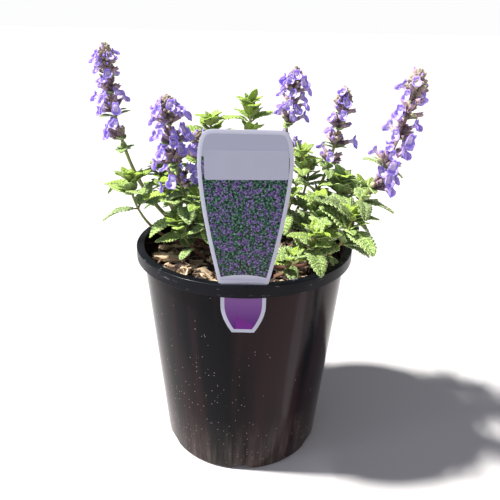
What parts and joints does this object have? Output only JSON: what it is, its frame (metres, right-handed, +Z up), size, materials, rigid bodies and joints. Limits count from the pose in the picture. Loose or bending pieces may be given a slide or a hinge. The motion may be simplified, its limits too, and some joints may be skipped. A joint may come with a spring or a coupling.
{
  "type": "potted catmint plant",
  "caption": "Flowering catmint in a round plastic nursery pot with bark mulch and a push-in label: spikes of small violet florets over grey-green toothed leaves.",
  "frame": {"origin": "centre of the pot's foot, on the surface that it stands on", "axes": "+Z up; -Y towards the side of the pot that the label hangs on; +X to the right of the label"},
  "size_m": [0.2089, 0.1509, 0.2844],
  "materials": {
    "pot_plastic": "gloss",
    "label_card": "satin",
    "potting_mix": "matte",
    "bark": "matte",
    "leaf": "matte",
    "flower": "matte"
  },
  "bodies": {
    "root": {"pot": "pot_plastic", "plant_label": "label_card", "potting_mix": "potting_mix", "bark_chip_1": "bark", "bark_chip_2": "bark", "bark_chip_3": "bark", "bark_chip_4": "bark", "bark_chip_5": "bark", "bark_chip_6": "bark", "bark_chip_7": "bark", "bark_chip_8": "bark", "flower_stem_a": "leaf", "flower_stem_b": "leaf", "flower_stem_c": "leaf", "flower_stem_d": "leaf", "flower_stem_e": "leaf", "flower_stem_f": "leaf", "flower_spike_a": "flower", "flower_spike_b": "flower", "flower_spike_c": "flower", "flower_spike_d": "flower", "flower_spike_e": "flower", "flower_spike_f": "flower", "leafy_shoot_front_right": "leaf", "leafy_shoot_low_right": "leaf", "leafy_shoot_edge_right": "leaf", "leafy_shoot_mid_right": "leaf", "leafy_shoot_far_right": "leaf", "leafy_shoot_right": "leaf", "leafy_shoot_tall_right": "leaf", "leafy_shoot_middle_right": "leaf", "leafy_shoot_far_left": "leaf", "leafy_shoot_left": "leaf", "leafy_shoot_low_left": "leaf", "leafy_shoot_middle_left": "leaf", "leafy_shoot_back_left": "leaf", "leafy_shoot_back_tall": "leaf", "leafy_shoot_back_mid": "leaf", "leafy_shoot_rear_left": "leaf", "leafy_shoot_rear_right": "leaf", "leafy_shoot_rear_far_left": "leaf", "leafy_shoot_rear_far_right": "leaf", "leafy_shoot_rear": "leaf"}
  },
  "joints": []
}
